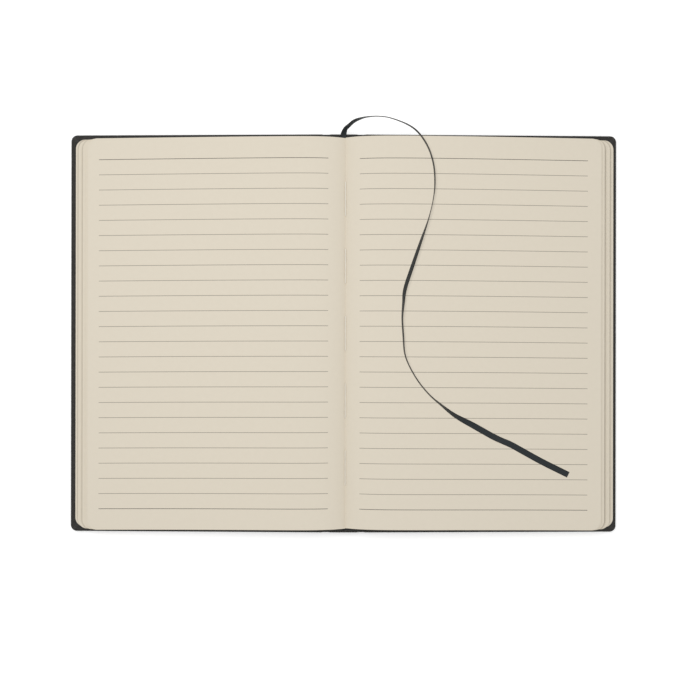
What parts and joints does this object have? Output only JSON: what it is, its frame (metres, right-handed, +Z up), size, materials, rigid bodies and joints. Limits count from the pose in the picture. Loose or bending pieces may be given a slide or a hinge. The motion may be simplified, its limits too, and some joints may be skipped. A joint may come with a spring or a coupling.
{
  "type": "hardback ruled notebook",
  "caption": "Hardback notebook lying open at its middle, with cream ruled leaves, a wrapped black case whose two covers turn on the spine joints, and a ribbon marker.",
  "frame": {"origin": "on the table under the middle of the spine", "axes": "+X to the fore-edge of the right page, +Y to the head of the book, +Z up from the table"},
  "size_m": [0.2916, 0.2194, 0.0164],
  "materials": {
    "greyboard": "matte",
    "leatherette": "satin",
    "endpaper": "matte",
    "lining": "matte",
    "page_paper": "matte",
    "thread": "matte",
    "ribbon": "satin"
  },
  "bodies": {
    "spine": {"spine_board": "greyboard", "spine_skin": "leatherette", "spine_lining": "lining", "page_block": "page_paper", "sewing_thread": "thread", "ribbon_marker": "ribbon"},
    "front_cover": {"front_board": "greyboard", "front_cover_skin": "leatherette", "front_pastedown": "endpaper"},
    "back_cover": {"back_board": "greyboard", "back_cover_skin": "leatherette", "back_pastedown": "endpaper"}
  },
  "joints": [
    {"name": "front_cover_hinge", "type": "hinge", "parent": "spine", "child": "front_cover", "pos_m": [-0.0093, 0, 0.00397], "axis": [0, 1, 0], "range_deg": [0, 91.5], "deforming": ["page_block"]},
    {"name": "back_cover_hinge", "type": "hinge", "parent": "spine", "child": "back_cover", "pos_m": [0.0093, 0, 0.00397], "axis": [0, -1, 0], "range_deg": [0, 91.5], "deforming": ["page_block", "ribbon_marker"]}
  ]
}
